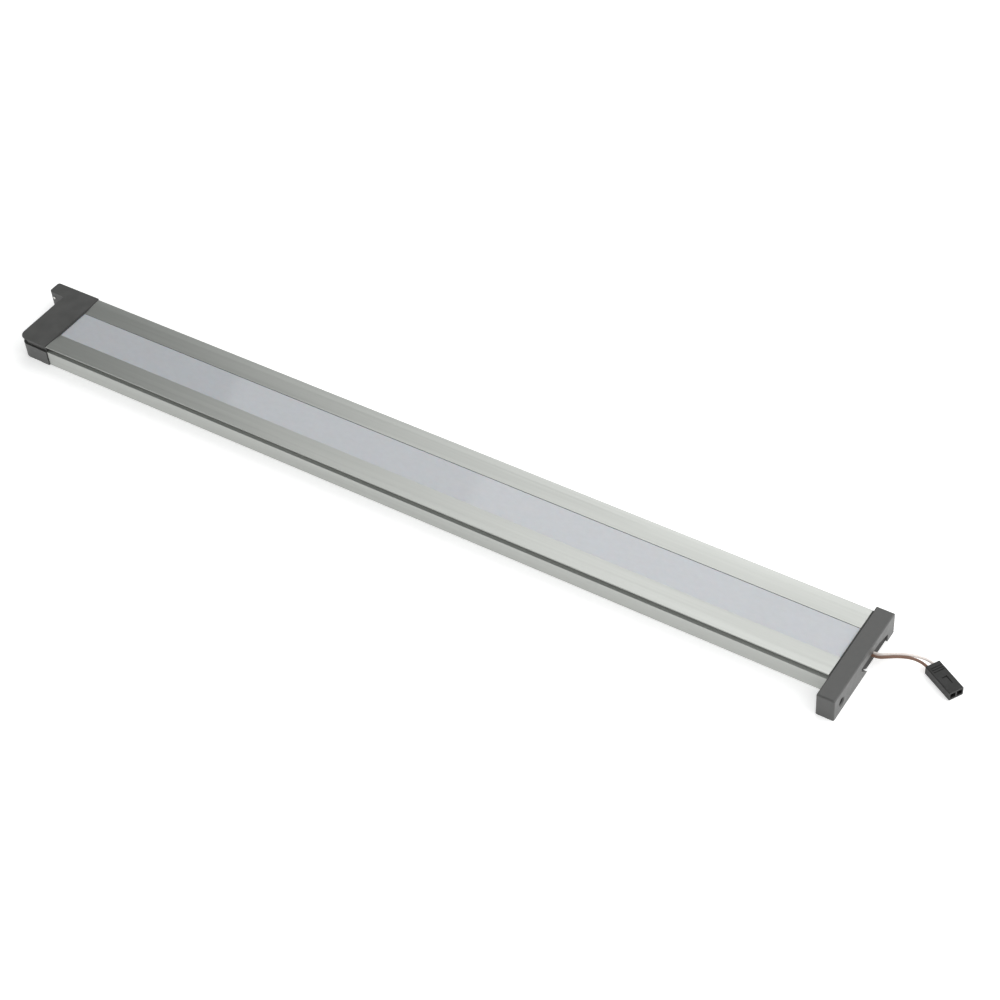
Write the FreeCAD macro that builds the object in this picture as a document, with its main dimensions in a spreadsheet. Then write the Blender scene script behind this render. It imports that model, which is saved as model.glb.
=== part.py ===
import FreeCAD, Part
import math
import os
import Sketcher

# A low-voltage LED light bar: an aluminium profile with a milky cover strip, a
# deep left end cap with a locating lug, and a slim right end cap with a screw
# ear, from which two short leads run to a two-way plug.
#
# Frame, in millimetres: X runs along the bar, Y across it towards the lug side,
# Z up and away from the flat underside. The origin is the middle of the
# profile's underside.

Vector = FreeCAD.Vector
doc = FreeCAD.newDocument("LightBar")

# ---------------------------------------------------------------- dimensions

SIZES = {
    "profile_length": 471.4,
    "profile_width": 45,
    "profile_height": 13,
    "floor_thickness": 1.6,
    "bottom_chamfer": 0.35,
    "top_chamfer": 0.15,
    "groove_bottom": 9.2,
    "groove_top": 12.5,
    "groove_rise": 1,
    "groove_depth": 2,
    "flange_slope_start": 4,
    "flange_inner_height": 12.25,
    "cover_slot_half": 10.3,
    "cover_lip_half": 12,
    "cover_top": 12,
    "cover_gap": 0.04,
    "cover_bevel": 0.1,
    "cover_lip_top": 10.9,
    "cover_lip_bottom": 9.5,
    "channel_half": 10.8,
    "chamber_inner": 13,
    "chamber_outer": 18.9,
    "chamber_top": 11,
    "chamber_step": 1.9,
    "chamber_drop": 2,
    "groove_floor": 1.5,
    "tape_thickness": 0.2,
    "board_length": 459,
    "board_width": 14,
    "board_thickness": 1.6,
    "led_pitch": 16.8,
    "led_count": 27,
    "led_length": 3.5,
    "led_width": 2.8,
    "led_height": 0.8,
    "led_wall": 0.4,
    "phosphor_height": 0.35,
    "chip_length": 3.2,
    "chip_width": 1.6,
    "chip_height": 0.55,
    "chip_offset": 2.6,
    "diode_inset": 6,
    "diode_offset": 4.25,
    "diode_length": 4.4,
    "diode_width": 2.7,
    "diode_height": 1.9,
    "diode_foot_width": 1.5,
    "diode_foot_height": 0.6,
    "solder_length": 2.4,
    "solder_width": 2.2,
    "solder_height": 1.6,
    "solder_inset": 3,
    "solder_radius": 0.7,
    "gasket_thickness": 0.4,
    "gasket_inset": 0.1,
    "cap_rise": 0.4,
    "cap_overhang": 0.5,
    "left_cap_length": 19,
    "left_band_length": 5.5,
    "left_foot_inset": 0.2,
    "left_waist_inset": 1.2,
    "left_head_height": 0.5,
    "left_corner_radius": 5,
    "left_rim_radius": 0.3,
    "lug_length": 10.5,
    "lug_root": 7,
    "lug_width": 8,
    "lug_corner_radius": 1.6,
    "pin_radius": 0.8,
    "pin_height": 9.4,
    "pin_inset": 2.8,
    "pin_gap": 0.02,
    "right_cap_length": 9.4,
    "ear_reach": 13.5,
    "tail_reach": 3,
    "right_rim_radius": 0.9,
    "ear_corner_radius": 0.8,
    "ear_hole_radius": 2.1,
    "ear_hole_height": 6,
    "ear_hole_shift": 0.8,
    "hole_mouth": 0.6,
    "notch_height": 8.2,
    "notch_rear": 19,
    "notch_front": -8.5,
    "notch_depth": 6.4,
    "notch_rear_drop": 3.2,
    "notch_rear_slope": 10,
    "notch_front_drop": 1.8,
    "notch_front_slope": 7.5,
    "bush_gap": 0.12,
    "bush_bottom": 0.3,
    "window_front": 1.6,
    "window_rear": 7.6,
    "window_bottom": 3.5,
    "window_top": 6.7,
    "core_gap": 0.05,
    "core_overlap": 0.2,
    "bush_hole_gap": 0.03,
    "bush_hole_length": 10,
    "spigot_length": 10,
    "spigot_gap": 0.3,
    "screw_inset": 5.5,
    "screw_side": 15.95,
    "screw_radius": 1.4,
    "screw_gap": 0.02,
    "screw_sink": 0.05,
    "screw_end_gap": 0.3,
    "screw_point_radius": 0.3,
    "screw_head_radius": 2.8,
    "screw_length": 7,
    "screw_head_height": 1.25,
    "screw_tip_height": 1.2,
    "screw_recess_span": 3,
    "screw_recess_width": 0.6,
    "screw_recess_depth": 0.9,
    "lead_diameter": 1.4,
    "plug_length": 18.5,
    "plug_width": 7.8,
    "plug_height": 5,
    "plug_pitch": 3.6,
    "plug_edge_radius": 0.5,
    "seat_gap": 0.1,
    "grip_margin": 1,
    "cavity_side": 2.8,
    "contact_length": 13,
    "contact_side": 2.4,
    "socket_length": 9,
    "socket_side": 1.4,
    "grip_start": 2.2,
    "grip_pitch": 1.3,
    "grip_width": 0.5,
    "grip_depth": 0.3,
    "latch_start": 9,
    "latch_length": 5,
    "latch_width": 2.6,
    "latch_depth": 0.4,
}


def make_sheet(sizes):
    sheet = doc.addObject("Spreadsheet::Sheet", "Sizes")
    for row, (alias, value) in enumerate(sizes.items(), 1):
        sheet.set(f"A{row}", alias)
        sheet.set(f"B{row}", str(value))
        sheet.setAlias(f"B{row}", alias)
    doc.recompute()
    return sheet


sheet = make_sheet(SIZES)


def size(alias):
    return float(getattr(sheet, alias))


def expression(formula):
    """The same formula with each size's name written as a cell of the sheet."""
    words = ["Sizes." + word if word in SIZES else word for word in formula.split()]
    return " ".join(words)


LEFT_END = "( 0 - profile_length / 2 - gasket_thickness )"
RIGHT_END = "( profile_length / 2 + gasket_thickness )"
CAP_TOP = "( profile_height + cap_rise )"
CAP_HALF = "( profile_width / 2 + cap_overhang )"
BOARD_BOTTOM = "( floor_thickness + tape_thickness )"
BOARD_TOP = "( floor_thickness + tape_thickness + board_thickness )"

# ------------------------------------------------------------------- helpers


def bind(thing, prop, formula):
    thing.setExpression(prop, expression(formula))


def value_of(formula):
    """The number that a formula of sizes gives."""
    return float(sheet.evalExpression(formula))


def place(thing, x="0", y="0", z="0"):
    bind(thing, "Placement.Base.x", x)
    bind(thing, "Placement.Base.y", y)
    bind(thing, "Placement.Base.z", z)
    return thing


def box(name, length, width, height, x="0", y="0", z="0"):
    thing = doc.addObject("Part::Box", name)
    bind(thing, "Length", length)
    bind(thing, "Width", width)
    bind(thing, "Height", height)
    return place(thing, x, y, z)


def turned(thing, axis, degrees):
    """The same object turned about an axis through its own origin."""
    base = thing.Placement.Base
    thing.Placement = FreeCAD.Placement(base, FreeCAD.Rotation(axis, degrees))
    return thing


def cylinder(name, radius, height, x="0", y="0", z="0", axis=None, degrees=0):
    thing = doc.addObject("Part::Cylinder", name)
    bind(thing, "Radius", radius)
    bind(thing, "Height", height)
    if axis is not None:
        turned(thing, axis, degrees)
    return place(thing, x, y, z)


def cone(name, low_radius, high_radius, height, x="0", y="0", z="0"):
    thing = doc.addObject("Part::Cone", name)
    bind(thing, "Radius1", low_radius)
    bind(thing, "Radius2", high_radius)
    bind(thing, "Height", height)
    return place(thing, x, y, z)


def fuse(name, pieces):
    thing = doc.addObject("Part::MultiFuse", name)
    thing.Shapes = pieces
    thing.Refine = True
    return thing


def cut(name, base, tools):
    tool = tools[0] if len(tools) == 1 else fuse(name + "_tools", tools)
    thing = doc.addObject("Part::Cut", name)
    thing.Base = base
    thing.Tool = tool
    thing.Refine = True
    return thing


def group(name, pieces):
    thing = doc.addObject("Part::Compound", name)
    thing.Links = pieces
    return thing


def round_edges(name, base, radius, chosen):
    """A Part::Fillet of the edges that the test function picks."""
    doc.recompute()
    thing = doc.addObject("Part::Fillet", name)
    thing.Base = base
    numbers = [i for i, edge in enumerate(base.Shape.Edges, 1) if chosen(edge)]
    thing.Edges = [(number, radius, radius) for number in numbers]
    return thing


def straight_along(edge, axis):
    """Whether a straight edge runs along the given axis."""
    if not isinstance(edge.Curve, Part.Line):
        return False
    return abs(abs(edge.tangentAt(edge.FirstParameter).dot(axis)) - 1) < 1e-6


def is_level_above(height):
    """A test for the level edges that lie above the given height."""
    limit = value_of(height) + 0.01

    def test(edge):
        return edge.BoundBox.ZMin > limit and edge.BoundBox.ZLength < 1e-6

    return test


X_AXIS = Vector(1, 0, 0)
Y_AXIS = Vector(0, 1, 0)
Z_AXIS = Vector(0, 0, 1)


def add_loop(sketch, corners):
    """One closed run of lines whose corners are bound to formulas of sizes."""
    points = [Vector(value_of(across), value_of(up), 0) for across, up in corners]
    first = sketch.GeometryCount
    count = len(points)
    for i in range(count):
        sketch.addGeometry(Part.LineSegment(points[i], points[(i + 1) % count]))
    for i in range(count):
        following = first + (i + 1) % count
        sketch.addConstraint(Sketcher.Constraint("Coincident", first + i, 2, following, 1))
    for i, (across, up) in enumerate(corners):
        for kind, axis, formula, number in (
            ("DistanceX", -2, across, points[i].x),
            ("DistanceY", -1, up, points[i].y),
        ):
            if formula == "0":
                sketch.addConstraint(Sketcher.Constraint("PointOnObject", first + i, 1, axis))
                continue
            constraint = Sketcher.Constraint(kind, -1, 1, first + i, 1, number)
            index = sketch.addConstraint(constraint)
            bind(sketch, f"Constraints[{index}]", formula)


def padded_outline(name, role, loops, length, middle=False):
    """A Body whose one pad is the outline, drawn on an origin plane."""
    body = doc.addObject("PartDesign::Body", name)
    plane = next(item for item in body.Origin.OriginFeatures if item.Role == role)
    sketch = body.newObject("Sketcher::SketchObject", name + "_outline")
    sketch.AttachmentSupport = [(plane, "")]
    sketch.MapMode = "FlatFace"
    for corners in loops:
        add_loop(sketch, corners)
    pad = body.newObject("PartDesign::Pad", name + "_pad")
    pad.Profile = sketch
    bind(pad, "Length", length)
    pad.Midplane = middle
    sketch.Visibility = False
    return body


def mirrored_corners(half):
    """A half outline at +Y, from the bottom up, completed by its image at -Y."""
    other = [("0 - ( " + across + " )", up) for across, up in reversed(half)]
    return half + other


# Where each lead stands across the bar: on the board, and in the grommet.
PAD_ACROSS = {"lead_brown": 2.2, "lead_white": 5.2}
EXIT_ACROSS = {"lead_brown": 3.7, "lead_white": 5.5}
EXIT_REACH = 8.5
LEAD_HEIGHT = 5.1

SUB_PARTS = {}


def keep(label, thing):
    """Registers a finished sub-part under the name that its file gets."""
    thing.Label = label
    SUB_PARTS[label] = thing
    return thing


# ------------------------------------------------------- profile and its cover


def make_extrusion():
    """Floor, side walls with clip grooves, two chambers and sloped flanges."""
    half_width = "profile_width / 2"
    outline = mirrored_corners([
        ("profile_width / 2 - bottom_chamfer", "0"),
        (half_width, "bottom_chamfer"),
        (half_width, "groove_bottom"),
        ("profile_width / 2 - groove_depth", "groove_bottom + groove_rise"),
        ("profile_width / 2 - groove_depth", "groove_top"),
        (half_width, "groove_top"),
        (half_width, "profile_height - top_chamfer"),
        ("profile_width / 2 - top_chamfer", "profile_height"),
        ("profile_width / 2 - flange_slope_start", "profile_height"),
        ("cover_slot_half", "flange_inner_height"),
        ("cover_slot_half", "cover_lip_top"),
        ("cover_lip_half", "cover_lip_top"),
        ("cover_lip_half", "cover_lip_bottom - 0.1"),
        ("channel_half", "cover_lip_bottom - 0.1"),
        ("channel_half", "floor_thickness"),
    ])
    chambers = []
    for side in ("", "0 - "):
        chambers.append([
            (side + "chamber_inner", "floor_thickness"),
            (side + "( chamber_outer + chamber_step )", "floor_thickness"),
            (side + "( chamber_outer + chamber_step )", "groove_bottom - groove_floor"),
            (side + "chamber_outer", "groove_bottom - groove_floor"),
            (side + "chamber_outer", "chamber_top"),
            (side + "chamber_inner", "chamber_top - chamber_drop"),
        ])
    bar = padded_outline("profile", "YZ_Plane", [outline] + chambers, "profile_length", middle=True)
    drills = []
    for end in (-1, 1):
        for side in (-1, 1):
            drills.append(countersink(f"drill{end}{side}", end, side))
    return keep("body_extrusion", cut("drilled_profile", bar, drills))


def screw_place(end, side):
    """Where a cap screw stands: end -1 or 1 along X, side -1 or 1 across."""
    return f"{end} * ( profile_length / 2 - screw_inset )", f"{side} * screw_side"


def countersink(name, end, side):
    x, y = screw_place(end, side)
    seat = cone(name + "_seat", "screw_head_radius + 0.1", "screw_radius + 0.1", "1.3", x, y, "0")
    bore = cylinder(name + "_bore", "screw_radius + 0.1", "floor_thickness + 0.5", x, y, "0")
    return fuse(name, [seat, bore])


def make_diffuser():
    """The milky strip: a plate in the slot, with lips under the flanges."""
    plate_half = "cover_slot_half - cover_gap"
    lip_half = "cover_lip_half - 0.15"
    leg_half = "channel_half - 1.6"
    outline = mirrored_corners([
        (leg_half, "cover_top - 1.3"),
        (leg_half, "cover_lip_bottom"),
        (lip_half, "cover_lip_bottom"),
        (lip_half, "cover_lip_top - 0.1"),
        (plate_half, "cover_lip_top - 0.1"),
        (plate_half, "cover_top - cover_bevel"),
        (plate_half + " - cover_bevel", "cover_top"),
    ])
    strip = padded_outline("cover", "YZ_Plane", [outline], "profile_length", middle=True)
    return keep("diffuser", strip)


# ----------------------------------------------------------- lights and board


def make_board():
    tape = box("tape", "board_length", "board_width - 2", "tape_thickness",
               "0 - board_length / 2", "1 - board_width / 2", "floor_thickness")
    board = box("board", "board_length", "board_width", "board_thickness",
                "0 - board_length / 2", "0 - board_width / 2", BOARD_BOTTOM)
    keep("thermal_tape", tape)
    keep("led_board", board)


def centred_box(name, length, width, height, x, y, z):
    """A box given by the middle of its underside."""
    return box(name, length, width, height, f"{x} - {length} / 2", f"{y} - {width} / 2", z)


def make_lights():
    """A row of surface-mounted LEDs: a white frame round a phosphor window."""
    frames = []
    windows = []
    count = int(size("led_count"))
    inner_length = "( led_length - 2 * led_wall )"
    inner_width = "( led_width - 2 * led_wall )"
    window_bottom = BOARD_TOP + " + led_height / 2"
    for i in range(count):
        x = f"{i - (count - 1) / 2} * led_pitch"
        outer = centred_box(f"led_outer{i}", "led_length", "led_width", "led_height", x, "0", BOARD_TOP)
        hollow = centred_box(f"led_hollow{i}", inner_length, inner_width, "led_height", x, "0", window_bottom)
        frames.append(cut(f"led_frame{i}", outer, [hollow]))
        windows.append(centred_box(f"led_window{i}", inner_length, inner_width, "phosphor_height",
                                   x, "0", window_bottom))
    keep("led_packages", group("all_led_frames", frames))
    keep("led_phosphor", group("all_led_windows", windows))


def make_resistors():
    """One chip resistor for each string of three LEDs."""
    chips = []
    strings = int(size("led_count")) // 3
    for i in range(strings):
        x = f"{3 * (i - (strings - 1) / 2) + 0.5} * led_pitch"
        y = "( chip_offset + chip_width / 2 )"
        chips.append(centred_box(f"chip{i}", "chip_length", "chip_width", "chip_height", x, y, BOARD_TOP))
    keep("resistors", group("all_chips", chips))


def make_diode():
    """The diode that guards against swapped leads, near the lead end."""
    x = "board_length / 2 - diode_inset"
    y = "0 - diode_offset"
    case = centred_box("diode_case", "diode_length", "diode_width", "diode_height", x, y,
                       BOARD_TOP + " + 0.1")
    feet = centred_box("diode_feet", "( diode_length + 1 )", "diode_foot_width", "diode_foot_height",
                       x, y, BOARD_TOP)
    keep("protection_diode", fuse("diode", [case, feet]))


def make_solder():
    """A block of solder round the end of each inner lead."""
    joints = []
    for label, across in PAD_ACROSS.items():
        block = centred_box(label + "_solder", "solder_length", "solder_width", "solder_height",
                            "board_length / 2 - solder_inset + solder_length / 2", f"{across}", BOARD_TOP)
        joints.append(round_edges(label + "_solder_round", block, size("solder_radius"),
                                  is_level_above(BOARD_TOP)))
    keep("solder_joints", group("both_joints", joints))


# ------------------------------------------------------------------- end caps


def slab(name, x_low, x_high, y_low, y_high, z_low, z_high):
    """A box given by its lowest and highest corners, as formulas of sizes."""
    return box(name, f"( {x_high} ) - ( {x_low} )", f"( {y_high} ) - ( {y_low} )",
               f"( {z_high} ) - ( {z_low} )", x_low, y_low, z_low)


def spigots(name, end):
    """The two plugs that slide into the profile's side chambers."""
    plugs = []
    for side in (-1, 1):
        inner = "chamber_inner + spigot_gap"
        outer = "chamber_outer - spigot_gap"
        y_low, y_high = (inner, outer) if side > 0 else (f"0 - ( {outer} )", f"0 - ( {inner} )")
        tip = f"{end} * ( profile_length / 2 - spigot_length )"
        root = f"{end} * ( profile_length / 2 + gasket_thickness + 1 )"
        x_low, x_high = (tip, root) if end > 0 else (root, tip)
        plugs.append(slab(f"{name}{side}", x_low, x_high, y_low, y_high,
                          "floor_thickness + spigot_gap", "chamber_top - chamber_drop - spigot_gap"))
    return plugs


def pilot_holes(name, end):
    holes = []
    for side in (-1, 1):
        x, y = screw_place(end, side)
        holes.append(cylinder(f"{name}{side}", "screw_radius + screw_gap", "screw_length", x, y, "0"))
    return holes


def make_left_cap():
    """A deep cap that carries on the profile's flange, groove and lower wall."""
    outer = LEFT_END + " - left_cap_length"
    layers = [
        ("foot", "left_foot_inset", "0", "groove_bottom"),
        ("waist", "left_waist_inset", "groove_bottom - 0.1", CAP_TOP + " - left_head_height / 2"),
        ("head", "0", CAP_TOP + " - left_head_height", CAP_TOP),
    ]
    blocks = []
    for name, inward, z_low, z_high in layers:
        block = slab("left_" + name, f"{outer} + {inward}", LEFT_END, f"0 - {CAP_HALF} + {inward}",
                     f"{CAP_HALF} - {inward}", z_low, z_high)
        low_corner = value_of(outer) + 2

        def outer_corner(edge, limit=low_corner):
            return straight_along(edge, Z_AXIS) and edge.CenterOfMass.x < limit

        blocks.append(round_edges("left_round_" + name, block, size("left_corner_radius"), outer_corner))
    band = slab("left_band", LEFT_END + " - left_band_length", LEFT_END,
                "0 - " + CAP_HALF, CAP_HALF, "0", "groove_bottom")
    lug = slab("left_lug", outer + " - lug_length", outer + " + lug_root", CAP_HALF + " - lug_width",
               CAP_HALF, "0", CAP_TOP)
    lug_end = value_of(outer + " - lug_length") + 1

    def lug_corner(edge):
        return straight_along(edge, Z_AXIS) and edge.CenterOfMass.x < lug_end

    rounded_lug = round_edges("left_round_lug", lug, size("lug_corner_radius"), lug_corner)
    solid = fuse("left_solid", blocks + [band, rounded_lug] + spigots("left_spigot", -1))
    pin_x, pin_z = lug_pin_place()
    pin_hole = cylinder("left_pin_hole", "pin_radius + pin_gap", "lug_width + 4", pin_x,
                        CAP_HALF + " - lug_width - 2", pin_z, X_AXIS, -90)
    whole = cut("left_cut", solid, pilot_holes("left_pilot", -1) + [pin_hole])
    top = value_of(CAP_TOP)
    joint = value_of(LEFT_END)

    def rim(edge):
        return edge.BoundBox.ZMin > top - 0.001 and edge.BoundBox.XMin < joint - 0.01

    return keep("left_end_cap", round_edges("left_rim", whole, size("left_rim_radius"), rim))


def lug_pin_place():
    x = LEFT_END + " - left_cap_length - lug_length + pin_inset"
    return x, "pin_height"


def make_lug_pin():
    """A steel cross pin in the lug, with domed ends just proud of it."""
    x, z = lug_pin_place()
    shank = cylinder("pin_shank", "pin_radius", "lug_width + 0.1", x, CAP_HALF + " - lug_width - 0.3",
                     z, X_AXIS, -90)
    return keep("lug_pin", shank)


def notch_outline(gap, bottom):
    """The wire notch's outline across the cap, drawn in by a gap."""
    front_corner = f"notch_height - notch_front_drop + {gap} / 2"
    return [
        (f"notch_rear - {gap}", bottom),
        (f"notch_rear - {gap}", f"notch_height - notch_rear_drop - {gap}"),
        (f"notch_rear - notch_rear_slope - {gap} / 2", f"notch_height - {gap}"),
        (f"notch_front + {gap}", f"notch_height - {gap}"),
        (f"notch_front + {gap}", front_corner),
        (f"notch_front + notch_front_slope + {gap}", bottom),
    ]


def make_right_cap():
    """A slim cap with a screw ear in front and a wire notch in its underside."""
    inner = RIGHT_END
    outer = RIGHT_END + " + right_cap_length"
    front = "0 - profile_width / 2 - ear_reach"
    rear = "profile_width / 2 + tail_reach"
    plate = slab("right_plate", inner, outer, front, rear, "0", CAP_TOP)
    front_limit = value_of(front) + 1

    def ear_corner(edge):
        return straight_along(edge, Z_AXIS) and edge.CenterOfMass.y < front_limit

    rounded = round_edges("right_round_ear", plate, size("ear_corner_radius"), ear_corner)
    solid = fuse("right_solid", [rounded] + spigots("right_spigot", 1))
    notch = padded_outline("notch", "YZ_Plane", [notch_outline("0", "0 - 1")], "notch_depth + 1")
    place(notch, outer + " - notch_depth")
    window = slab("right_window", inner + " - 1", outer, "window_front", "window_rear",
                  "window_bottom", "window_top")
    across = "0 - profile_width / 2 - ear_reach / 2 + ear_hole_shift"
    ear_hole = cylinder("right_ear_hole", "ear_hole_radius", "right_cap_length + 2", inner + " - 1",
                        across, "ear_hole_height", Y_AXIS, 90)
    mouth = cone("right_hole_mouth", "ear_hole_radius", "ear_hole_radius + hole_mouth", "hole_mouth")
    turned(mouth, Y_AXIS, 90)
    place(mouth, outer + " - hole_mouth", across, "ear_hole_height")
    tools = [notch, window, ear_hole, mouth] + pilot_holes("right_pilot", 1)
    whole = cut("right_cut", solid, tools)
    top = value_of(CAP_TOP)

    def rim(edge):
        return edge.BoundBox.ZMin > top - 0.001

    return keep("right_end_cap", round_edges("right_rim", whole, size("right_rim_radius"), rim))


def make_gaskets():
    """Foam gaskets between the profile's ends and the caps."""
    for label, end in (("left_cap_gasket", -1), ("right_cap_gasket", 1)):
        x_low = f"{end} * ( profile_length / 2 + gasket_thickness / 2 ) - gasket_thickness / 2"
        sheet_box = box(label + "_sheet", "gasket_thickness", "profile_width - 2 * gasket_inset",
                        "profile_height - 2 * gasket_inset", x_low,
                        "gasket_inset - profile_width / 2", "gasket_inset")
        windows = []
        for side in (-1, 0, 1):
            half = "chamber_outer / 2 - chamber_inner / 2" if side else "channel_half - 1.5"
            middle = f"{side} * ( chamber_outer + chamber_inner ) / 2"
            windows.append(box(f"{label}_window{side}", "gasket_thickness + 2", f"2 * ( {half} )",
                               "chamber_top - chamber_drop - floor_thickness", x_low + " - 1",
                               f"{middle} - ( {half} )", "floor_thickness"))
        keep(label, cut(label + "_cut", sheet_box, windows))


def make_screws():
    """Countersunk self-tapping screws with a cross recess, two for each cap."""
    for label, end in (("left_cap_screws", -1), ("right_cap_screws", 1)):
        screws = []
        for side in (-1, 1):
            x, y = screw_place(end, side)
            name = f"{label}{side}"
            head = cone(name + "_head", "screw_head_radius", "screw_radius", "screw_head_height",
                        x, y, "screw_sink")
            shank = cylinder(name + "_shank", "screw_radius",
                             "screw_length - screw_end_gap - screw_tip_height - screw_head_height / 2",
                             x, y, "screw_head_height / 2")
            tip = cone(name + "_tip", "screw_radius", "screw_point_radius", "screw_tip_height", x, y,
                       "screw_length - screw_end_gap - screw_tip_height")
            body = fuse(name + "_body", [head, shank, tip])
            slots = []
            for way, length, width in (
                ("along", "screw_recess_span", "screw_recess_width"),
                ("across", "screw_recess_width", "screw_recess_span"),
            ):
                slots.append(centred_box(f"{name}_{way}", length, width, "screw_recess_depth", x, y, "0"))
            screws.append(cut(name, body, slots))
        keep(label, group(label + "_pair", screws))


# ------------------------------------------------------------ leads and plug

# The leads' points are given from the right cap's inner face, along X.
PLUG_ANGLE = -30.0
PLUG_MOUTH = Vector(34.7, 12.9, 0)
PLUG_APPROACH = 3.0
SEAT_DEPTH = 2.0
SOLDER_END = 0.6
SOLDER_LIFT = 0.8
INNER_RUN = 2.6
INNER_BEND = 1.6

ROUTES = {
    "lead_brown": [
        (EXIT_REACH, EXIT_ACROSS["lead_brown"], LEAD_HEIGHT),
        (11.6, EXIT_ACROSS["lead_brown"], LEAD_HEIGHT),
        (15.4, 5.8, 5.5),
        (20.2, 9.0, 5.4),
        (25.6, 11.9, 4.4),
    ],
    "lead_white": [
        (EXIT_REACH, EXIT_ACROSS["lead_white"], LEAD_HEIGHT),
        (11.6, EXIT_ACROSS["lead_white"], LEAD_HEIGHT),
        (15.6, 7.8, 5.7),
        (20.8, 10.9, 5.7),
        (26.4, 13.7, 4.7),
    ],
}


def plug_frame():
    """The plug's own frame: its mouth's middle, with X into the plug."""
    origin = Vector(value_of(RIGHT_END), 0, 0) + PLUG_MOUTH
    return FreeCAD.Placement(origin, FreeCAD.Rotation(Z_AXIS, PLUG_ANGLE))


def lead_route(label, side):
    """A lead's points, from its exit to the crimp inside the plug."""
    start = Vector(value_of(RIGHT_END), 0, 0)
    points = [start + Vector(*point) for point in ROUTES[label]]
    frame = plug_frame()
    across = side * size("plug_pitch") / 2
    for along in (-PLUG_APPROACH, SEAT_DEPTH):
        points.append(frame.multVec(Vector(along, across, size("plug_height") / 2)))
    return points


def rounded_path(points):
    """Straight runs joined by tangent arcs, each as large as its runs allow."""
    edges = []
    radii = []
    start = points[0]
    for before, corner, after in zip(points, points[1:], points[2:]):
        way_in = (corner - before).normalize()
        way_out = (after - corner).normalize()
        half_turn = way_in.getAngle(way_out) / 2
        reach = 0.45 * min(corner.distanceToPoint(before), corner.distanceToPoint(after))
        radii.append(reach / math.tan(half_turn))
        arc_start = corner - way_in * reach
        arc_end = corner + way_out * reach
        inward = (way_out - way_in).normalize()
        to_centre = math.hypot(radii[-1], reach)
        middle = corner + inward * (to_centre - radii[-1])
        edges.append(Part.LineSegment(start, arc_start).toShape())
        edges.append(Part.Arc(arc_start, middle, arc_end).toShape())
        start = arc_end
    edges.append(Part.LineSegment(start, points[-1]).toShape())
    return Part.Wire(edges), radii


def wire_tube(label, points):
    """A round wire swept along its rounded path."""
    path, radii = rounded_path(points)
    radius = size("lead_diameter") / 2
    way = (points[1] - points[0]).normalize()
    ring = Part.Wire(Part.Circle(points[0], way, radius).toShape())
    tube = path.makePipeShell([ring], True, False)
    expected = math.pi * radius ** 2 * path.Length
    print(f"{label}: length {path.Length:.2f}, smallest radius {min(radii):.2f},"
          f" volume {tube.Volume:.2f} against {expected:.2f}")
    thing = doc.addObject("Part::Feature", label + "_tube")
    thing.Shape = tube
    return keep(label, thing)


def inner_route(label):
    """A lead's points inside the bar, from its solder joint to the exit."""
    cap_face = value_of(RIGHT_END)
    start = Vector(value_of("board_length / 2") - SOLDER_END, PAD_ACROSS[label],
                   value_of(BOARD_TOP) + SOLDER_LIFT)
    return [
        start,
        start + Vector(INNER_RUN, 0, 0),
        Vector(cap_face - INNER_BEND, EXIT_ACROSS[label], LEAD_HEIGHT),
        Vector(cap_face + EXIT_REACH, EXIT_ACROSS[label], LEAD_HEIGHT),
    ]


def make_leads():
    for label, side in (("lead_brown", -1), ("lead_white", 1)):
        wire_tube("inner_" + label, inner_route(label))
        wire_tube(label, lead_route(label, side))


def make_grommet():
    """A rubber bush that fills the notch round both wires."""
    inner = RIGHT_END
    core = slab("grommet_core", inner + " + 2 * core_gap",
                RIGHT_END + " + right_cap_length - notch_depth + core_overlap",
                "window_front + core_gap", "window_rear - core_gap",
                "window_bottom + core_gap", "window_top - core_gap")
    bush = padded_outline("grommet_bush", "YZ_Plane", [notch_outline("bush_gap", "bush_bottom")],
                          f"{EXIT_REACH} - right_cap_length + notch_depth")
    place(bush, RIGHT_END + " + right_cap_length - notch_depth")
    solid = fuse("grommet_solid", [core, bush])
    holes = []
    for label, across in EXIT_ACROSS.items():
        holes.append(cylinder(label + "_hole", "lead_diameter / 2 + bush_hole_gap",
                              "bush_hole_length", inner + " - 1", str(across), str(LEAD_HEIGHT),
                              Y_AXIS, 90))
    return keep("lead_grommet", cut("grommet", solid, holes))


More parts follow.
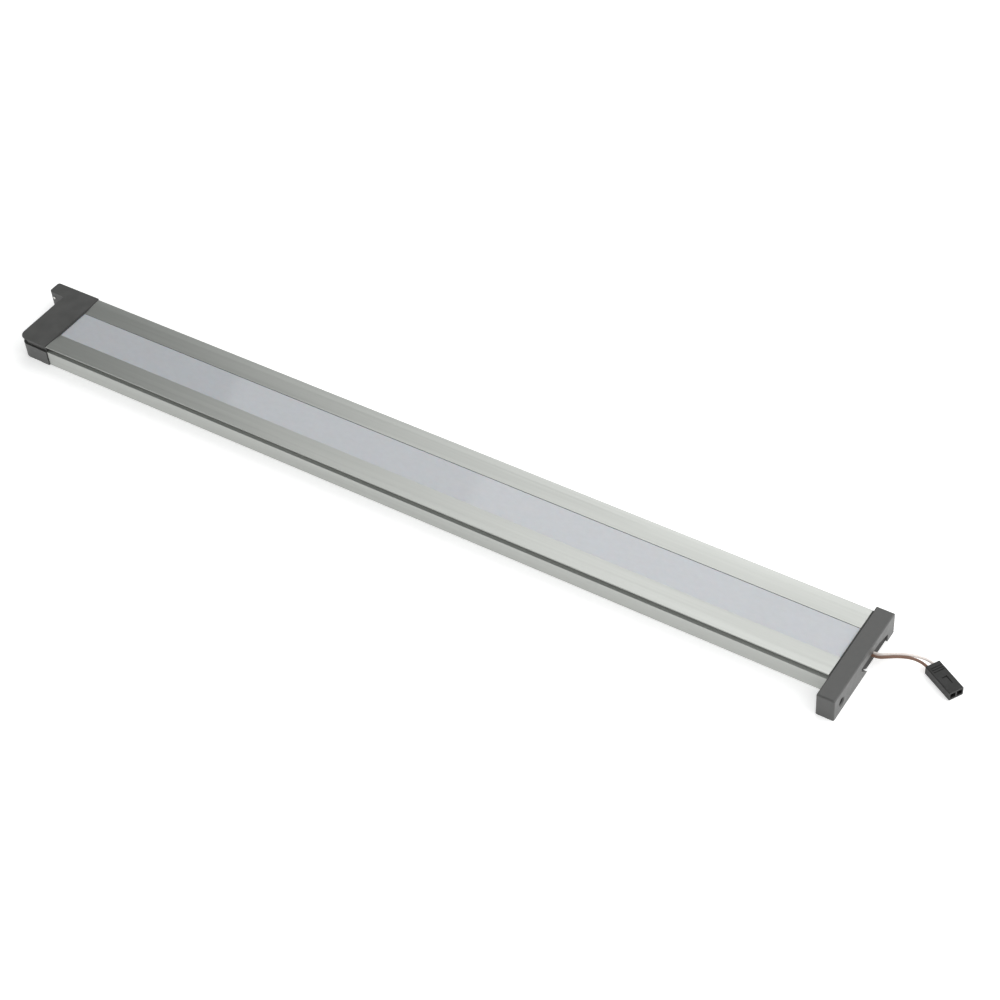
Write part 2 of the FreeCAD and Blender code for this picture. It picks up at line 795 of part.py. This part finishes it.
def make_plug():
    """A two-way plug: ribbed housing with a latch pocket, and its contacts."""
    case = box("plug_case", "plug_length", "plug_width", "plug_height", "0", "0 - plug_width / 2", "0")

    def long_edge(edge):
        return straight_along(edge, X_AXIS)

    rounded = round_edges("plug_round", case, size("plug_edge_radius"), long_edge)
    seat = str(SEAT_DEPTH)
    cavities = []
    contacts = []
    for side in (-1, 1):
        middle = f"{side} * plug_pitch / 2"
        cavities.append(tunnel(f"plug_cavity{side}", seat, f"plug_length - {seat}", "cavity_side", middle))
        cavities.append(cylinder(f"plug_seat{side}", "lead_diameter / 2 + seat_gap", f"{seat} + 2", "0 - 1",
                                 middle, "plug_height / 2", Y_AXIS, 90))
        sleeve = tunnel(f"contact_sleeve{side}", seat, "contact_length", "contact_side", middle)
        socket = tunnel(f"contact_socket{side}", f"{seat} + contact_length - socket_length + 1",
                        "socket_length", "socket_side", middle)
        contacts.append(cut(f"contact{side}", sleeve, [socket]))
    marks = []
    for i in range(3):
        marks.append(box(f"plug_grip{i}", "grip_width", "plug_width - 2 * grip_margin", "grip_depth + 0.1",
                         f"grip_start + {i} * grip_pitch", "grip_margin - plug_width / 2",
                         "plug_height - grip_depth"))
    marks.append(box("plug_latch", "latch_length", "latch_width", "latch_depth + 0.1", "latch_start",
                     "0 - latch_width / 2", "plug_height - latch_depth"))
    housing = cut("plug_housing", rounded, cavities + marks)
    frame = plug_frame()
    for label, thing in (("connector_housing", housing),
                         ("connector_contacts", group("both_contacts", contacts))):
        thing.Placement = frame
        keep(label, thing)


def tunnel(name, start, length, side, middle):
    """A square bar along the plug, centred on its height."""
    return box(name, length, side, side, start, f"{middle} - {side} / 2", f"plug_height / 2 - {side} / 2")


# -------------------------------------------------------------------- output


def check_document():
    doc.recompute()
    for thing in doc.Objects:
        bad = [state for state in thing.State if state in ("Invalid", "Error")]
        if bad:
            raise RuntimeError(f"{thing.Name} ({thing.Label}) is {bad}")
    for label, thing in SUB_PARTS.items():
        shape = thing.Shape
        if shape.isNull() or not shape.isValid() or not shape.Solids:
            raise RuntimeError(f"{label} has no valid solid")
        print(f"{label}: {len(shape.Solids)} solids, {shape.Volume:.1f} mm3")


def write_steps():
    os.makedirs("parts", exist_ok=True)
    for label, thing in SUB_PARTS.items():
        thing.Shape.exportStep(os.path.join("parts", label + ".step"))


make_extrusion()
make_diffuser()
make_board()
make_lights()
make_resistors()
make_diode()
make_solder()
make_left_cap()
make_lug_pin()
make_right_cap()
make_gaskets()
make_screws()
make_grommet()
make_leads()
make_plug()
check_document()
write_steps()
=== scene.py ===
import math

import bpy
from mathutils import Matrix, Vector


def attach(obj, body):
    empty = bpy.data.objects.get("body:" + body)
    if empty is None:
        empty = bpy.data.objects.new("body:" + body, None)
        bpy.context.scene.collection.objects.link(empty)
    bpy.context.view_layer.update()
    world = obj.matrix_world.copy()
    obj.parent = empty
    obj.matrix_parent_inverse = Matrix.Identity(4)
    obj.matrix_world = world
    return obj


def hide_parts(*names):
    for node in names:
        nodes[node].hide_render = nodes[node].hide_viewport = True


# The looks of an LED light bar: satin anodised aluminium, a milky cover, moulded
# dark end caps and two thin leads with a plug. Everything is in metres, in the
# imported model's frame: X along the bar, Y across it, Z up.

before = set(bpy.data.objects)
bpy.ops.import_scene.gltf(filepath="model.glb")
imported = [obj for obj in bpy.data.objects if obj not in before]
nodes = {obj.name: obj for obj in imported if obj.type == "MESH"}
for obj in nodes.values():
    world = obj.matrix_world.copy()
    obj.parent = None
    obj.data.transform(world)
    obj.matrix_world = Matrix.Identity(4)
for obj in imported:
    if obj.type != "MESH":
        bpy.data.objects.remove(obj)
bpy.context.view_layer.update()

MM = 0.001

# --------------------------------------------------------------- view and light

CAMERA_AZIMUTH = 36.64
CAMERA_ELEVATION = 44.84
CAMERA_ROLL = -5.39
CAMERA_DISTANCE = 1.103
CAMERA_TARGET = Vector((0.0369, 0.0094, 0.0))
CAMERA_LENS = 79.0
SENSOR_WIDTH = 36.0

WORLD_COLOUR = (0.95, 0.985, 0.97)
WORLD_STRENGTH = 0.25
FLOOR_SIZE = 40.0
FLOOR_DROP = 0.02 * MM
FLOOR_GLOW = 0.4

# Each light: its place, the point that it faces, its width and depth, and the
# brightness of its face (radiance, where 1 shows as white).
LIGHTS = {
    "rear_left": ((-0.645, 0.66, 0.85), (-0.645, 0, 0), (0.32, 0.8), 0.9),
    "rear_middle": ((-0.325, 0.66, 0.85), (-0.325, 0, 0), (0.32, 0.8), 1.7),
    "rear_right": ((0.125, 0.66, 0.85), (0.125, 0, 0), (0.58, 0.8), 1.5),
    "overhead": ((0.55, -0.1, 1.0), (0.1, 0, 0), (0.8, 0.8), 1.5),
    "right_side": ((1.4, 0.5, 0.65), (0.2, 0, 0), (1.6, 1.3), 2.1),
    "front": ((-0.1, -1.6, 0.95), (0, 0, 0), (2.6, 1.6), 0.7),
}


def make_camera():
    """A camera that looks at its target, turned by azimuth, elevation and roll."""
    azimuth = math.radians(CAMERA_AZIMUTH)
    elevation = math.radians(CAMERA_ELEVATION)
    roll = math.radians(CAMERA_ROLL)
    back = Vector((
        math.sin(azimuth) * math.cos(elevation),
        -math.cos(azimuth) * math.cos(elevation),
        math.sin(elevation),
    ))
    level_right = (-back).cross(Vector((0, 0, 1))).normalized()
    level_up = level_right.cross(-back)
    right = math.cos(roll) * level_right + math.sin(roll) * level_up
    up = back.cross(right)
    data = bpy.data.cameras.new("camera")
    data.lens = CAMERA_LENS
    data.sensor_width = SENSOR_WIDTH
    camera = bpy.data.objects.new("camera", data)
    camera.matrix_world = Matrix((right, up, back)).transposed().to_4x4()
    camera.location = CAMERA_TARGET + CAMERA_DISTANCE * back
    bpy.context.scene.collection.objects.link(camera)
    bpy.context.scene.camera = camera


def make_lights():
    """Area lights round the bar, in an even pale surround."""
    for name, (place, aim, span, brightness) in LIGHTS.items():
        data = bpy.data.lights.new(name, "AREA")
        data.shape = "RECTANGLE"
        data.size, data.size_y = span
        data.energy = brightness * math.pi * span[0] * span[1]
        light = bpy.data.objects.new(name, data)
        light.location = place
        light.rotation_mode = "QUATERNION"
        light.rotation_quaternion = (Vector(aim) - Vector(place)).to_track_quat("-Z", "Y")
        bpy.context.scene.collection.objects.link(light)
    world = bpy.data.worlds.new("studio")
    world.use_nodes = True
    background = world.node_tree.nodes["Background"]
    background.inputs["Color"].default_value = (*WORLD_COLOUR, 1)
    background.inputs["Strength"].default_value = WORLD_STRENGTH
    bpy.context.scene.world = world
    bpy.context.scene.view_settings.view_transform = "Standard"


def make_floor():
    """A wide pale floor just under the bar, with a glow that softens shadows."""
    half = FLOOR_SIZE / 2
    mesh = bpy.data.meshes.new("floor")
    corners = [(-half, -half, 0), (half, -half, 0), (half, half, 0), (-half, half, 0)]
    mesh.from_pydata(corners, [], [(0, 1, 2, 3)])
    floor = bpy.data.objects.new("floor", mesh)
    floor.location.z = -FLOOR_DROP
    bpy.context.scene.collection.objects.link(floor)
    finish = Finish("floor_paper", (0.95, 0.95, 0.95), 0.9)
    finish.shader.inputs["Emission Color"].default_value = (1, 1, 1, 1)
    finish.shader.inputs["Emission Strength"].default_value = FLOOR_GLOW
    mesh.materials.append(finish.material)


# -------------------------------------------------------------------- materials

# A noise pattern lies mostly between these values.
NOISE_LOW = 0.3
NOISE_HIGH = 0.7

# The painted shade in slots: how far it looks for nearby faces, and its samples.
PAINTED_SHADE_REACH = 2.5 * MM
PAINTED_SHADE_SAMPLES = 12


class Finish:
    """A Principled material whose sockets are fed by patterns in object space."""

    def __init__(self, name, colour, roughness, metallic=0.0):
        self.material = bpy.data.materials.new(name)
        self.material.use_nodes = True
        self.tree = self.material.node_tree
        self.shader = self.tree.nodes["Principled BSDF"]
        self.shader.inputs["Base Color"].default_value = (*colour, 1)
        self.shader.inputs["Roughness"].default_value = roughness
        self.shader.inputs["Metallic"].default_value = metallic
        self.colour = colour
        self.coordinates = self.tree.nodes.new("ShaderNodeTexCoord").outputs["Object"]
        self.last_bump = None

    def add(self, kind, **settings):
        node = self.tree.nodes.new(kind)
        for name, value in settings.items():
            setattr(node, name, value)
        return node

    def join(self, output, node, socket):
        """Feed an output into a node's socket."""
        self.tree.links.new(output, node.inputs[socket])

    def noise(self, size, stretch=(1, 1, 1), detail=3.0):
        """Soft noise whose spots are about size metres, longer by stretch."""
        mapping = self.add("ShaderNodeMapping")
        mapping.inputs["Scale"].default_value = [1 / (size * s) for s in stretch]
        texture = self.add("ShaderNodeTexNoise")
        texture.inputs["Scale"].default_value = 1.0
        texture.inputs["Detail"].default_value = detail
        self.join(self.coordinates, mapping, "Vector")
        self.join(mapping.outputs["Vector"], texture, "Vector")
        return texture.outputs["Fac"]

    def cells(self, size):
        """A cell pattern, as a moulded spark-eroded surface has."""
        texture = self.add("ShaderNodeTexVoronoi")
        texture.inputs["Scale"].default_value = 1 / size
        self.join(self.coordinates, texture, "Vector")
        return texture.outputs["Distance"]

    def ranged(self, pattern, low, high):
        """A noise pattern stretched to run from low to high."""
        node = self.add("ShaderNodeMapRange")
        node.inputs["From Min"].default_value = NOISE_LOW
        node.inputs["From Max"].default_value = NOISE_HIGH
        node.inputs["To Min"].default_value = low
        node.inputs["To Max"].default_value = high
        self.join(pattern, node, "Value")
        return node.outputs["Result"]

    def shade(self, pattern, dark, light, start=NOISE_LOW, end=NOISE_HIGH):
        """Colour that runs from dark to light times the base colour."""
        ramp = self.add("ShaderNodeValToRGB")
        first, last = ramp.color_ramp.elements
        first.position, last.position = start, end
        first.color = (*[c * dark for c in self.colour], 1)
        last.color = (*[c * light for c in self.colour], 1)
        self.join(pattern, ramp, "Fac")
        self.join(ramp.outputs["Color"], self.shader, "Base Color")
        return ramp.outputs["Color"]

    def paint_slot_shade(self, colour):
        """Painted shade: darken the colour where other faces of the piece lie close by, as in
        slots, where shade falls.
        """
        node = self.add("ShaderNodeAmbientOcclusion", samples=PAINTED_SHADE_SAMPLES, only_local=True)
        node.inputs["Distance"].default_value = PAINTED_SHADE_REACH
        self.join(colour, node, "Color")
        self.join(node.outputs["Color"], self.shader, "Base Color")

    def roughen(self, pattern, low, high):
        """Roughness that runs from low to high over a pattern."""
        self.join(self.ranged(pattern, low, high), self.shader, "Roughness")

    def bump(self, pattern, height):
        """Relief of a height in metres, on top of any bump made before it."""
        node = self.add("ShaderNodeBump")
        node.inputs["Strength"].default_value = 1.0
        node.inputs["Distance"].default_value = height
        self.join(pattern, node, "Height")
        if self.last_bump:
            self.join(self.last_bump, node, "Normal")
        self.last_bump = node.outputs["Normal"]
        self.join(self.last_bump, self.shader, "Normal")


def anodised_aluminium():
    """Satin anodising with faint drawing lines along the profile, and painted shade in its slots.
    """
    finish = Finish("anodised_aluminium", (0.475, 0.485, 0.465), 0.36, 1.0)
    lines = finish.noise(0.25 * MM, (400, 1, 1), 4.0)
    broad = finish.noise(2.5 * MM, (60, 1, 1), 2.0)
    colour = finish.shade(broad, 0.94, 1.04)
    # Painted shade: the colour is darkened in the slots and in the groove under the flange, where
    # shade falls.
    finish.paint_slot_shade(colour)
    finish.roughen(lines, 0.33, 0.42)
    finish.bump(lines, 0.004 * MM)
    return finish.material


def milky_cover():
    """Milky acrylic under a smooth skin, with a faint orange peel."""
    finish = Finish("milky_cover", (0.50, 0.515, 0.545), 0.42)
    mottle = finish.noise(2.2 * MM, (1.6, 1, 1), 4.0)
    grain = finish.noise(0.5 * MM, (1, 1, 1), 2.0)
    finish.shade(mottle, 0.975, 1.025)
    finish.roughen(mottle, 0.38, 0.46)
    finish.bump(grain, 0.003 * MM)
    finish.shader.inputs["Coat Weight"].default_value = 1.0
    finish.shader.inputs["Coat Roughness"].default_value = 0.05
    finish.shader.inputs["Coat IOR"].default_value = 1.5
    finish.shader.inputs["Subsurface Weight"].default_value = 0.15
    finish.shader.inputs["Subsurface Scale"].default_value = 2 * MM
    return finish.material


def moulded_plastic(name, colour, roughness, grain):
    """Moulded plastic with a fine spark-eroded grain."""
    finish = Finish(name, colour, roughness)
    cells = finish.cells(grain)
    cloud = finish.noise(6 * MM, (1, 1, 1), 3.0)
    finish.shade(cloud, 0.9, 1.1)
    finish.roughen(cloud, roughness - 0.05, roughness + 0.07)
    finish.bump(cells, 0.02 * MM)
    return finish.material


def rubber(name, colour):
    """Matt rubber with a fine speckle."""
    finish = Finish(name, colour, 0.7)
    speckle = finish.noise(0.3 * MM, (1, 1, 1), 4.0)
    finish.shade(speckle, 0.8, 1.2)
    finish.bump(speckle, 0.02 * MM)
    return finish.material


def plated_steel():
    """Plated steel with short marks."""
    finish = Finish("plated_steel", (0.72, 0.71, 0.68), 0.28, 1.0)
    marks = finish.noise(0.12 * MM, (1, 1, 8), 3.0)
    finish.shade(marks, 0.85, 1.05)
    finish.roughen(marks, 0.22, 0.38)
    finish.bump(marks, 0.004 * MM)
    return finish.material


def solder_mask():
    """White solder mask with a faint pattern like tracks under it."""
    finish = Finish("solder_mask", (0.84, 0.85, 0.82), 0.35)
    tracks = finish.noise(3 * MM, (8, 0.6, 1), 0.0)
    finish.shade(tracks, 0.92, 1.0, 0.47, 0.53)
    finish.bump(tracks, 0.03 * MM)
    return finish.material


def speckled(name, colour, roughness, size, metallic=0.0):
    """A plain finish with speckles of a given size, for the small inner pieces."""
    finish = Finish(name, colour, roughness, metallic)
    speckle = finish.noise(size, (1, 1, 1), 3.0)
    finish.shade(speckle, 0.85, 1.12)
    finish.roughen(speckle, roughness - 0.06, roughness + 0.08)
    finish.bump(speckle, 0.01 * MM)
    return finish.material


def wire_sheath(name, colour):
    """Thin-wall PVC insulation, a little glossy, with handling marks."""
    finish = Finish(name, colour, 0.4)
    marks = finish.noise(0.9 * MM, (1, 1, 1), 3.0)
    finish.shade(marks, 0.9, 1.08)
    finish.roughen(marks, 0.34, 0.48)
    finish.bump(marks, 0.02 * MM)
    return finish.material


def dress(material, *names):
    """Give nodes a material in place of the one they came with."""
    for name in names:
        node = nodes[name]
        node.data.materials.clear()
        node.data.materials.append(material)


def dress_nodes():
    """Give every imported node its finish; make_lead does the inner leads."""
    caps = moulded_plastic("cap_plastic", (0.078, 0.078, 0.076), 0.4, 0.28 * MM)
    plug = moulded_plastic("plug_plastic", (0.014, 0.014, 0.0135), 0.5, 0.2 * MM)
    steel = plated_steel()
    dress(anodised_aluminium(), "body_extrusion")
    dress(milky_cover(), "diffuser")
    dress(caps, "left_end_cap", "right_end_cap")
    dress(plug, "connector_housing")
    dress(rubber("seal_rubber", (0.055, 0.055, 0.054)), "left_cap_gasket", "right_cap_gasket")
    # The grommet rubber is near black partly as painted shade, so that the notch at the lead exit
    # reads as dark as the shade there.
    dress(rubber("grommet_rubber", (0.012, 0.012, 0.011)), "lead_grommet")
    dress(steel, "lug_pin", "left_cap_screws", "right_cap_screws")
    dress(solder_mask(), "led_board")
    dress(speckled("tape_adhesive", (0.62, 0.62, 0.6), 0.6, 0.5 * MM), "thermal_tape")
    dress(speckled("led_frame", (0.86, 0.86, 0.84), 0.4, 0.3 * MM), "led_packages")
    dress(speckled("led_phosphor", (0.86, 0.72, 0.16), 0.5, 0.15 * MM), "led_phosphor")
    dress(speckled("resistor_ceramic", (0.03, 0.03, 0.032), 0.35, 0.3 * MM), "resistors")
    dress(speckled("diode_case", (0.025, 0.025, 0.026), 0.45, 0.3 * MM), "protection_diode")
    dress(speckled("solder_tin", (0.76, 0.76, 0.75), 0.26, 0.4 * MM, 1.0), "solder_joints")
    dress(speckled("contact_brass", (0.72, 0.55, 0.26), 0.3, 0.4 * MM, 1.0), "connector_contacts")


# ------------------------------------------------------------------------ leads

LEAD_DIAMETER = 1.4 * MM
LEAD_BEVEL_STEPS = 6
LEAD_SPAN_STEPS = 24
LEAD_ORDER = 3

LEADS = {
    "lead_brown": {
        "length": 0.0301,
        "colour": (0.20, 0.11, 0.075),
        "points": [
            (0.2446, 0.0037, 0.0051), (0.2477, 0.0037, 0.0051), (0.2515, 0.0058, 0.0055),
            (0.2563, 0.0090, 0.0054), (0.2617, 0.0119, 0.0044), (0.2673, 0.01284, 0.0025),
            (0.27163, 0.01034, 0.0025),
        ],
    },
    "lead_white": {
        "length": 0.0321,
        "colour": (0.92, 0.85, 0.81),
        "points": [
            (0.2446, 0.0055, 0.0051), (0.2477, 0.0055, 0.0051), (0.2517, 0.0078, 0.0057),
            (0.2569, 0.0109, 0.0057), (0.2625, 0.0137, 0.0047), (0.2691, 0.01596, 0.0025),
            (0.27343, 0.01346, 0.0025),
        ],
    },
}


def make_lead(label, facts):
    """A lead as a smooth spline through the air from its grommet to the plug."""
    curve = bpy.data.curves.new(label + "_wire", "CURVE")
    curve.dimensions = "3D"
    curve.bevel_depth = LEAD_DIAMETER / 2
    curve.bevel_resolution = LEAD_BEVEL_STEPS
    curve.resolution_u = LEAD_SPAN_STEPS
    curve.use_fill_caps = True
    spline = curve.splines.new("NURBS")
    spline.points.add(len(facts["points"]) - 1)
    for point, place in zip(spline.points, facts["points"]):
        point.co = (*place, 1)
    spline.order_u = LEAD_ORDER
    spline.use_endpoint_u = True
    curve.materials.append(wire_sheath(label + "_sheath", facts["colour"]))
    wire = bpy.data.objects.new(label + "_wire", curve)
    bpy.context.scene.collection.objects.link(wire)
    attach(wire, "root")
    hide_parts(label)
    dress(curve.materials[0], "inner_" + label)


make_camera()
make_lights()
make_floor()
dress_nodes()
for lead, facts in LEADS.items():
    make_lead(lead, facts)
